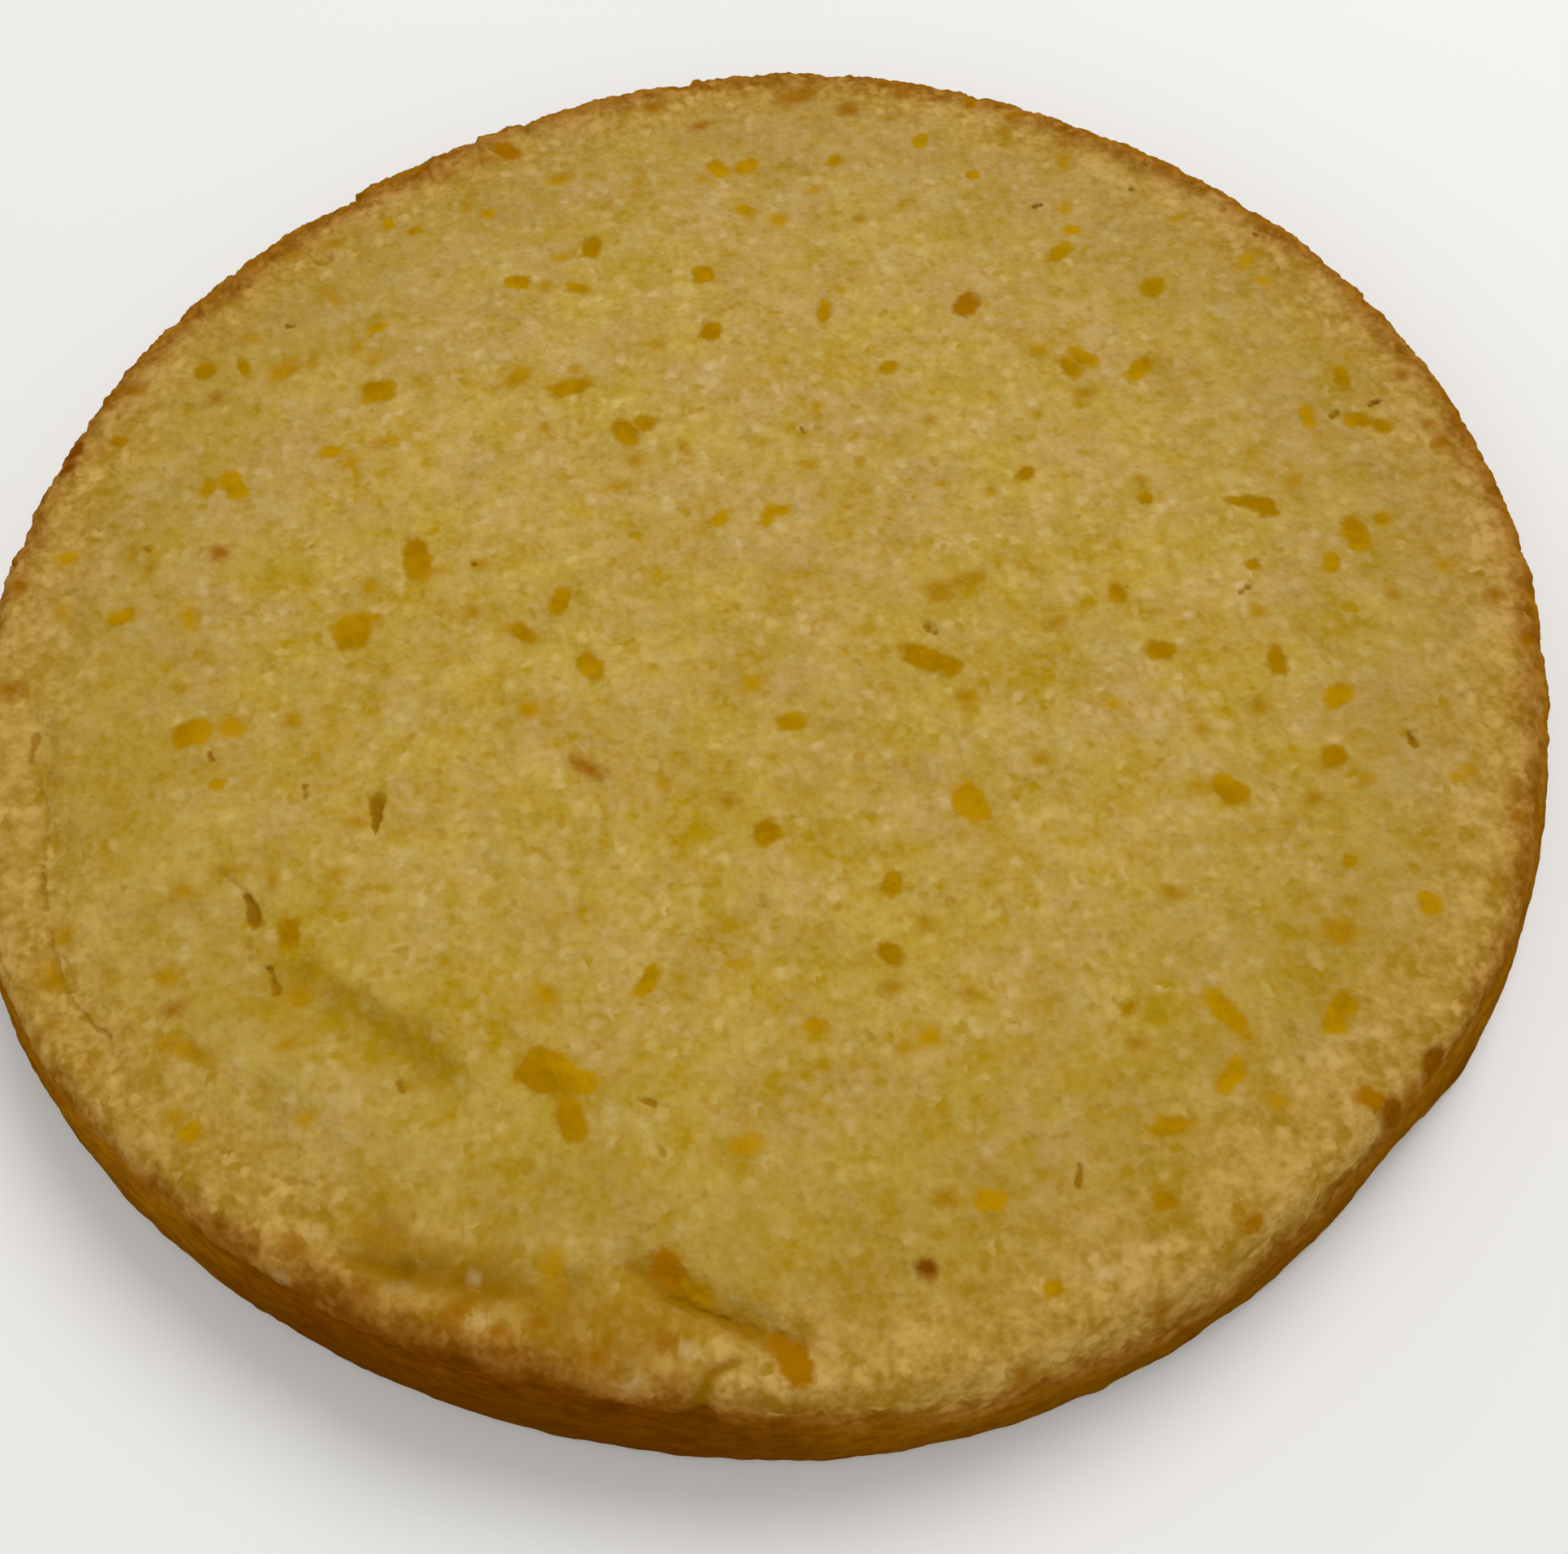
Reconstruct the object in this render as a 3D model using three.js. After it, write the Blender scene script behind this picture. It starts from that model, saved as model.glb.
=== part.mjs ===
import * as THREE from "three";
import { mergeVertices } from "three/addons/utils/BufferGeometryUtils.js";

// A cassava cake turned out of its round tin: one solid slab, a little oval and widest at its foot,
// with a rounded, uneven rim and a top that is creased and cracked towards the front left.
// Millimetres, +Z up. The origin is the middle of the flat underside.

// The slab, whose rim lies a little nearer the front than its foot does
const HEIGHT = 19.5;
const FOOT_RADIUS = 114.8;
const RIM_RADIUS = 109.6;
const RIM_LEAN = 1.2;
const RIM_REACH = 5.2;
const RIM_DROP = 4.6;
const FOOT_ROUND = 1.6;
const WALL_BULGE = 0.5;

// How far its plan is from a circle: a share of the radius, and swells by angle in degrees
const OVAL = 0.0177;
const SWELLS = [
  { at: 45, spread: 12, out: -0.5 },
  { at: 74, spread: 12, out: 1.3 },
  { at: 113, spread: 14, out: -1.4 },
  { at: 196, spread: 12, out: 1.7 },
  { at: 240, spread: 16, out: -0.8 },
  { at: 270, spread: 11, out: 0.9 },
  { at: 303, spread: 6, out: -0.6 },
  { at: 318, spread: 7, out: 0.8 },
];

// The slow unevenness of the top
const WAVES = [
  { length: 97, heading: 25, height: 0.3 },
  { length: 61, heading: 115, height: 0.22 },
  { length: 38, heading: 70, height: 0.14 },
];

// Lines along which the top is sunk, or raised where the depth is negative
const CREASES = [
  { path: [[-73, -34], [-70, -44], [-60, -50], [-49, -60]], width: 5, depth: 1.7 },
  { path: [[-78, -50], [-67, -56], [-57, -65]], width: 6, depth: -0.9 },
  { path: [[-102, 1], [-101, -18], [-98, -40], [-91, -49]], width: 3, depth: 1.0 },
  { path: [[-69, -77], [-57, -84], [-43, -89]], width: 3.5, depth: 1.0 },
  { path: [[-32, -89], [-25, -94], [-16, -99]], width: 2.8, depth: 1.6 },
];

// The crust's crags, as the furthest that a point of the rim or the wall moves in or out
const CRAG = 0.45;
const CRAG_SEED = 7;

// How finely the surface is cut
const SEGMENTS = 136;
const UNDERSIDE_RINGS = 3;
const FOOT_STEPS = 2;
const WALL_STEPS = 5;
const RIM_STEPS = 5;
const TOP_RINGS = 24;
const TOP_CROWDING = 1.5;

// The half section from the middle of the underside out, up the wall and in over the top
function section() {
  const points = [];
  const shoulder = HEIGHT - RIM_DROP;
  const flatFoot = FOOT_RADIUS - FOOT_ROUND;
  const flatTop = RIM_RADIUS - RIM_REACH;
  for (let i = 0; i < UNDERSIDE_RINGS; i++) {
    points.push(new THREE.Vector2((flatFoot * i) / UNDERSIDE_RINGS, 0));
  }
  for (let i = 0; i < FOOT_STEPS; i++) {
    const turn = ((i / FOOT_STEPS) * Math.PI) / 2;
    points.push(new THREE.Vector2(flatFoot + FOOT_ROUND * Math.sin(turn), FOOT_ROUND * (1 - Math.cos(turn))));
  }
  for (let i = 0; i < WALL_STEPS; i++) {
    const up = i / WALL_STEPS;
    const bulge = WALL_BULGE * Math.sin(Math.PI * up);
    const radius = THREE.MathUtils.lerp(FOOT_RADIUS, RIM_RADIUS, up) + bulge;
    points.push(new THREE.Vector2(radius, THREE.MathUtils.lerp(FOOT_ROUND, shoulder, up)));
  }
  for (let i = 0; i < RIM_STEPS; i++) {
    const turn = ((i / RIM_STEPS) * Math.PI) / 2;
    points.push(new THREE.Vector2(flatTop + RIM_REACH * Math.cos(turn), shoulder + RIM_DROP * Math.sin(turn)));
  }
  for (let i = 0; i <= TOP_RINGS; i++) {
    const inwards = Math.pow(i / TOP_RINGS, TOP_CROWDING);
    points.push(new THREE.Vector2(flatTop * (1 - inwards), HEIGHT));
  }
  return points;
}

// How much further out than a circle the cake reaches at an angle, as a share of the radius
function planStretch(angle) {
  let stretch = OVAL * Math.cos(2 * angle);
  for (const { at, spread, out } of SWELLS) {
    const apart = THREE.MathUtils.euclideanModulo(THREE.MathUtils.radToDeg(angle) - at + 180, 360) - 180;
    stretch += (out / RIM_RADIUS) * Math.exp(-0.5 * (apart / spread) ** 2);
  }
  return stretch;
}

// The shortest way from a point of the top to a line of points
function distanceToPath(point, path) {
  const step = new THREE.Line3();
  const nearest = new THREE.Vector3();
  let shortest = Infinity;
  for (let i = 1; i < path.length; i++) {
    step.start.set(...path[i - 1], 0);
    step.end.set(...path[i], 0);
    step.closestPointToPoint(point, true, nearest);
    shortest = Math.min(shortest, nearest.distanceTo(point));
  }
  return shortest;
}

// How far the top rises or sinks at a place
function topRelief(x, y) {
  const place = new THREE.Vector3(x, y, 0);
  let rise = 0;
  for (const { length, heading, height } of WAVES) {
    const turn = THREE.MathUtils.degToRad(heading);
    const along = x * Math.cos(turn) + y * Math.sin(turn);
    rise += height * Math.sin((2 * Math.PI * along) / length);
  }
  for (const { path, width, depth } of CREASES) {
    rise -= depth * Math.exp(-0.5 * (distanceToPath(place, path) / width) ** 2);
  }
  return rise;
}

// Gives the turned slab its uneven plan, top and crust, and leaves its underside flat
function roughen(geometry) {
  const places = geometry.getAttribute("position");
  THREE.MathUtils.seededRandom(CRAG_SEED);
  for (let i = 0; i < places.count; i++) {
    const x = places.getX(i);
    const y = places.getY(i);
    const z = places.getZ(i);
    const radius = Math.hypot(x, y);
    const onRim = radius > RIM_RADIUS - RIM_REACH && z > FOOT_ROUND;
    const crag = onRim ? CRAG * (2 * THREE.MathUtils.seededRandom() - 1) : 0;
    const grow = 1 + planStretch(Math.atan2(y, x)) + crag / RIM_RADIUS;
    const across = x * grow;
    const away = y * grow - (RIM_LEAN * z) / HEIGHT;
    const topShare = THREE.MathUtils.smoothstep(z, HEIGHT - RIM_DROP, HEIGHT);
    places.setXYZ(i, across, away, z + topShare * topRelief(across, away));
  }
}

// Puts the origin at the middle of the underside's box
function centre(geometry) {
  geometry.computeBoundingBox();
  const middle = geometry.boundingBox.getCenter(new THREE.Vector3());
  geometry.translate(-middle.x, -middle.y, -geometry.boundingBox.min.z);
}

function cakeGeometry() {
  const turned = new THREE.LatheGeometry(section(), SEGMENTS);
  turned.rotateX(Math.PI / 2);
  turned.deleteAttribute("normal");
  turned.deleteAttribute("uv");
  const skin = mergeVertices(turned, 1e-3);
  roughen(skin);
  centre(skin);
  skin.computeVertexNormals();
  return skin;
}

const crumb = new THREE.MeshStandardMaterial({ color: 0xb3933e, roughness: 0.8, metalness: 0 });
const cake = new THREE.Mesh(cakeGeometry(), crumb);
cake.name = "cake";

const cassavaCake = new THREE.Group();
cassavaCake.name = "cassava_cake";
cassavaCake.add(cake);

export default cassavaCake;
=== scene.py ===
import math

import bpy
import numpy as np
from mathutils import Matrix, Vector, noise


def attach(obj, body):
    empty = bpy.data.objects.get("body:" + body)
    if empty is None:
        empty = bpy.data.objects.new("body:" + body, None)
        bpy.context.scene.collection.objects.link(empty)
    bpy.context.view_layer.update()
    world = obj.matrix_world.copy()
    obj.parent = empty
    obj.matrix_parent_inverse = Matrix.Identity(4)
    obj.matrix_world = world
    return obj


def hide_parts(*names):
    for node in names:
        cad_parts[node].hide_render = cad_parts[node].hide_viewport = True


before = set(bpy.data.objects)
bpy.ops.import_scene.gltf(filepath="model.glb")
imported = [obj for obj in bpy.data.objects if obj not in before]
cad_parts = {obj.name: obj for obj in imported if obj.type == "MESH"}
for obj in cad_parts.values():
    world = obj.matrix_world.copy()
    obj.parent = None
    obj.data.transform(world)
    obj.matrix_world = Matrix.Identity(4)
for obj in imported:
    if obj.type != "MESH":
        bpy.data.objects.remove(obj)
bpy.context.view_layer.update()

# A cassava cake turned out of its round tin. Sizes are in millimetres until they reach Blender.
MM = 0.001
# Heights and runs that differ by less than this are level
LEVEL = 0.001

# The slab, whose rim lies a little nearer the front than its foot does
HEIGHT = 19.5
FOOT_RADIUS = 114.8
RIM_RADIUS = 109.6
RIM_LEAN = 1.2
RIM_REACH = 5.2
RIM_DROP = 4.6
FOOT_ROUND = 1.6
WALL_BULGE = 0.5
FLAT_TOP = RIM_RADIUS - RIM_REACH
FLAT_FOOT = FOOT_RADIUS - FOOT_ROUND

# How far its plan is from a circle: a share of the radius, and swells as (degrees, spread, out)
OVAL = 0.0177
SWELLS = [
    (45, 12, -0.5), (74, 12, 1.3), (113, 14, -1.4), (196, 12, 1.7),
    (240, 16, -0.8), (270, 11, 0.9), (303, 6, -0.6), (318, 7, 0.8),
]
# How much further out the foot alone lies in places
FOOT_SWELLS = [(306.5, 4, -1.3), (312.5, 2.5, 0.6), (322, 6, -1.4)]

# How finely the slab is cut: points round the rim, and rings over each stretch of its section
ROUND_CUTS = 880
RIM_STEPS = 13
WALL_STEPS = 10
FOOT_STEPS = 3
UNDERSIDE_SHARES = (0.98, 0.93, 0.8, 0.45)
CRAGGY_FROM = 2.0
CRAGGY_TO = 12.0

# Layers of unevenness as (name, grain, depth, where)
LAYERS = [
    ("slow_waves", 38, 1.1, "top"),
    ("swells", 14, 1.3, "top"),
    ("lumps", 5, 0.8, "top"),
    ("grains", 2.2, 0.35, "top"),
    ("crags", 5, 1.0, "rim"),
    ("crumbs", 1.3, 0.9, "rim"),
    ("wall_lumps", 8, 0.8, "wall"),
    ("wall_grains", 2, 0.3, "wall"),
]
LAYER_DETAIL = 2
WEIGHT_STEPS = 20
# Where each stretch fades, as the runs from the edge of the flat top with none and with all of it.
# The end of the wall is counted from the foot.
TOP_FADE = (2, -3)
RIM_START = (-3, 2)
RIM_FADE = (14, 7)
WALL_START = (4, 8)
WALL_FADE = (-0.3, -3)
# The share of the rim's unevenness that is left at the front, and the stretch over which it grows to all
FRONT_SHARE = 0.7
FRONT_STRETCH = (-60, 20)

# Soft folds of the top as (line, reach, depth, how moist and shaded). A negative depth is a raised lip, and a
# depth of 0 is a patch of colour alone. The last column is partly real moisture and partly painted shade in
# the creases; a negative one is drier and paler, partly painted light on the lips.
FOLDS = [
    ([(-73, -34), (-70, -43)], 6, 0.6, 0.2),
    ([(-69, -47), (-62.5, -51.8), (-56, -57.5), (-51.5, -62)], 7, 1.6, 0.2),
    ([(-66, -44), (-60, -49.4), (-53.5, -55.5), (-49.5, -60)], 6, 0.0, 0.45),
    ([(-79, -50), (-71, -56), (-63, -62), (-55.5, -68)], 8.5, -1.3, -0.4),
    ([(-102, 1), (-100.3, -18), (-98.5, -38), (-92, -48)], 4.5, 0.9, 0.12),
    ([(-65, -80), (-58, -83.5)], 2.4, 0.7, 0.4),
    ([(-57, -84), (-46, -88), (-39, -89)], 3.2, 1.0, 0.35),
    ([(-62, -89), (-50, -93)], 7, -0.6, 0.0),
    ([(-59.5, -80), (-49.5, -86), (-38.5, -92.5), (-26, -97.5)], 13, 0.0, 0.7),
    ([(-31, -88), (-26, -92.5), (-20, -97), (-15, -100)], 3.4, 1.3, 0.7),
    ([(-31, -95), (-24, -99), (-19, -103)], 6, -1.0, -0.1),
    ([(-20.8, -100.9), (-24, -101.5), (-25.8, -104), (-26.2, -109)], 2.1, 0.8, 1.0),
]
FOLD_NOISE = 7
FOLD_RAGGEDNESS = 0.25
MOIST_AND_SHADE_FOCUS = 3

# Tears, cracks and pits as (line, reach at its start, reach at its end, depth)
TEARS = [
    ([(-55.5, -21.6), (-55.7, -24), (-55.9, -26.2)], 1.5, 0.5, 0.6),
    ([(-73.2, -31.8), (-72.6, -35.2)], 0.8, 1.6, 0.6),
    ([(-76.6, -27.6), (-73.6, -30.8)], 0.5, 0.7, 0.2),
    ([(-73.4, -37.6), (-73.3, -41.6)], 0.6, 0.4, 0.2),
    ([(-71.2, -42.2), (-70.5, -44.8)], 0.6, 0.9, 0.45),
    ([(-64.9, -17.3), (-64.8, -18.8)], 0.6, 0.7, 0.35),
    ([(-101.4, -0.7), (-101.9, -5.2)], 0.6, 0.5, 0.28),
    ([(-101.2, -8.5), (-99.8, -13), (-100.1, -20)], 0.6, 0.5, 0.2),
    ([(-100.3, -21.5), (-100.3, -24.3), (-100, -27.8)], 0.5, 0.7, 0.27),
    ([(-99.4, -31), (-98, -38.1)], 0.5, 0.6, 0.2),
    ([(-97, -40.5), (-95, -43.5), (-91.7, -47.3)], 0.6, 0.5, 0.25),
    ([(-27, -92.6), (-24, -94.7), (-20.1, -97.1), (-17.6, -98.4)], 0.5, 0.8, 0.3),
    ([(-26.9, -68.9), (-25.3, -69.8)], 0.6, 0.6, 0.35),
    ([(-25.6, -75), (-25.2, -76)], 0.6, 0.6, 0.2),
    ([(-56, -60.4), (-55.7, -61.6)], 0.5, 0.5, 0.35),
    ([(-71.8, -69), (-69.5, -70.4), (-67.1, -71.2)], 0.5, 0.45, 0.2),
    ([(23, -10.7), (24.2, -11.8)], 0.6, 0.7, 0.35),
    ([(67.9, -14.9), (69.1, -14.3)], 0.7, 0.7, 0.4),
    ([(82.3, -41.2), (82.3, -43)], 0.6, 0.9, 0.45),
    ([(23.3, -87.8), (22.6, -89.6)], 0.6, 0.7, 0.4),
    ([(59.2, 63), (60.4, 63)], 0.6, 0.5, 0.5),
    ([(97.2, 12.5), (98.9, 12.8)], 0.6, 0.5, 0.5),
    ([(91.1, 11.8), (91.9, 12)], 0.6, 0.6, 0.4),
    ([(75.2, 62.6), (75.4, 62.7)], 0.7, 0.7, 0.5),
    ([(-62.6, 64.4), (-61.6, 64.5)], 0.6, 0.6, 0.4),
    ([(-57.4, 77.2), (-56, 76.2), (-54.6, 77)], 0.6, 0.6, 0.25),
    ([(-85.4, 26.5), (-85, 26.3)], 0.5, 0.5, 0.35),
    ([(12.9, 27), (13.2, 26.5)], 0.5, 0.5, 0.35),
    ([(34.7, 78.4), (35.1, 77.2)], 0.5, 0.5, 0.2),
    ([(91.5, 49), (91.7, 48.7)], 0.6, 0.6, 0.4),
    ([(-77.3, -9.9), (-76.9, -10.6)], 0.6, 0.6, 0.4),
    ([(-7.3, -45.8), (-7.1, -47.2)], 0.6, 0.6, 0.2),
    ([(-38.5, 13.6), (-38.3, 13.3)], 0.5, 0.5, 0.4),
]
TEAR_MARGIN = 1.0
TEAR_CUTS = 2
TEAR_RAGGEDNESS = 0.5
TEAR_NOISE = 1.0
# The share of its reach that is a tear's flat floor
TEAR_FLOOR = 0.3

# Nicks of the rim as (degrees, reach on the way round from there, reach before it, depth)
NICKS = [
    (118.6, 13, 0.7, 1.3), (121.8, 5, 0.6, 0.5), (110.8, 6, 0.6, 0.6), (106, 4, 0.6, 0.5),
    (101.3, 0.7, 8, 1.0), (85, 9, 1.0, 1.1), (79, 5, 0.6, 0.6), (72, 0.6, 4, 0.4), (58.6, 0.6, 4, 0.4),
    (48, 4, 0.6, 0.4), (41, 3, 0.6, 0.4), (37.8, 0.6, 4, 0.6), (30.6, 3, 0.6, 0.4), (17.9, 0.6, 5, 0.6),
    (132, 0.6, 4, 0.4), (139, 0.6, 4, 0.5), (151, 3, 0.6, 0.4), (163, 0.6, 4, 0.4), (172, 4, 0.6, 0.4),
    (344, 0.8, 2, 0.5), (337, 3, 0.6, 0.3), (352, 0.6, 3, 0.3),
]
# Where along the section the nicks start and fade, as the runs with none and with all of them
NICK_START = (-2, 3)
NICK_FADE = (16, 8)

# Where along the section the crust turns brown, as (degrees, run from the edge of the flat top)
BROWNING_STARTS = [
    (0, 0.7), (20, 0.5), (45, -0.6), (90, 0), (105, -0.5), (118, -2), (128, -1.5), (140, -0.3), (180, 4),
    (205, 6), (225, 2.5), (240, 0), (255, 2.5), (265, 8), (272, 10.5), (290, 12), (300, 9), (310, 5.5),
    (320, 3), (335, 0.8), (360, 0.7),
]

# The stretch of the side that is baked darkest, in degrees, and the runs past the foot where it fades
DARK_BAKE_AT = 242
DARK_BAKE_SPREAD = 17
DARK_BAKE_FADE = (6, -2)

# Bits baked into the crumb as (across, away, long, wide, turn in degrees)
CLEAR_FLECKS = [
    (-25.6, 65.3, 3.8, 2.6, -10), (-12.8, 70.3, 4, 2.9, 60), (-16.2, 62.1, 3, 1.8, -20),
    (-75.8, 58.2, 3.4, 2.8, 30), (-69.5, 57.8, 3.6, 1.5, 105), (-48.5, 60.9, 3.2, 1.6, -5),
    (-49.3, 48, 5.4, 4.2, 0), (-20.3, 42.6, 6.2, 2.7, 5), (-13.1, 31.7, 5.2, 3.2, 105),
    (-9.8, 33.1, 3, 2.5, 0), (-57.4, 37.9, 3.5, 1.7, -5), (-75.9, 35.6, 3.2, 2.3, 55),
    (-72.1, 35, 5.4, 3, -65), (-46.4, 16, 7.8, 3.8, 92), (-56.4, 5.6, 6, 5.2, 80),
    (-53.6, 7.3, 2.2, 1.2, -20), (-89, 15.2, 3.8, 2.5, 10), (-89.3, 47.6, 2.6, 2, -20),
    (-44.7, 82.5, 2, 1.5, 100), (-28.5, 81.4, 2, 1.8, 0), (-40.8, 80.1, 1.8, 1.4, 30),
    (-1.8, 13.2, 2.4, 2, 30), (-27, 4.2, 4.6, 2.5, 65), (-33, 0.4, 4, 2.3, -50),
    (3.8, 60, 3.5, 3.3, 0), (3, 48.4, 3.6, 3.3, 60), (21.1, 48.8, 3.8, 2, 70),
    (72.4, 41.4, 3.7, 3.2, 50), (55.5, 29.3, 4, 2.4, -60), (58, 30.6, 4.2, 2.6, -50),
    (65.8, 26.6, 5.2, 2.4, 32), (60.4, 52, 4.8, 2.3, 30), (63.5, 56.4, 2.4, 1.9, 0),
    (10.3, 82.7, 4, 2.9, -60), (15.2, 82.4, 3.8, 3, 25), (44.7, 81.2, 2.8, 2.4, 60),
    (12.9, 72.6, 2.6, 2.1, -40), (51.2, 71.6, 2.3, 1.7, 10), (29.7, 79.9, 2.4, 1.8, 30),
    (28.5, 35.4, 2.6, 2.2, 30), (94.9, 18, 4.2, 2.3, 75), (87.3, 12.1, 2.9, 1.8, 95),
    (94.2, 9.9, 3.4, 2.8, -20), (97.2, 8.3, 3, 2.2, -30), (43.8, 11.7, 2.6, 1.9, 10),
    (4.8, 11.9, 2.7, 1.9, 60), (6.9, 13, 2.9, 1.7, -20), (5.6, 12.8, 2, 1.6, 40),
    (59.4, 3.2, 2.3, 1.9, 60), (74, -0.5, 5.6, 1.9, -14),
    (-79.5, -6, 5.4, 4.2, 10), (-76.4, -14.4, 2, 1.7, 60), (-24.1, -7.2, 4.8, 3.1, -65),
    (-4.9, -37.4, 3.5, 3.3, 10), (-68.4, -38, 4, 2.5, 85), (-23.5, -54.1, 4.2, 2.1, 45),
    (-38, -62.9, 6.8, 5.4, -30), (-34.4, -65.2, 5.4, 2.8, -18), (-35.4, -70, 4.8, 3.2, 100),
    (-36.5, -67.9, 2.8, 1.3, 60), (-3.9, -64.2, 2.9, 1.9, -15), (-81.5, -61.5, 2.5, 2, 60),
    (1.6, -21.8, 4, 2.7, 0), (21.9, -15.9, 7, 3.5, -36), (24.7, -17.6, 3.4, 2.8, -35),
    (22.4, -38.8, 5.9, 4, 105), (56.2, -44, 5.2, 3.3, -52), (75, -33.8, 4.2, 2.9, 25),
    (71.3, -42.6, 3.1, 3, 0), (86.9, -9.3, 6, 3.4, 84), (91.4, -7.3, 2.5, 1.7, 15),
    (81.7, -13.2, 3.2, 2.4, 60), (76, -2.1, 3.2, 3.2, 0), (50.7, -11.6, 3.3, 2.1, 80),
    (70.9, -11, 1.9, 1.5, 0), (53.8, -21.8, 4, 3, -25), (68.9, -26.8, 4.4, 2.5, 80),
    (9.7, -47.8, 3.1, 2.5, 55), (7.3, -57.1, 3.3, 2.3, -60), (76, -64.8, 3.4, 2.5, 90),
    (46.2, -73, 6.2, 2.6, -66), (48, -76.6, 2.2, 1, -60), (60.6, -75.2, 4, 2.6, 35),
    (58.9, -76.8, 3.2, 2.6, 60), (34.8, -70, 1.9, 1.7, 0), (44.4, -80.8, 5, 2.3, 38),
    (35, -85.2, 4.8, 2.1, 0), (31.9, -93.5, 2.3, 2, 0), (11.8, -89.4, 3.5, 2.5, -30),
    (68, -57.2, 2.1, 1.5, 70), (-23.9, -91.9, 4.2, 1.8, -42), (16.4, -100.5, 2.1, 1.6, 0),
]
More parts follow.
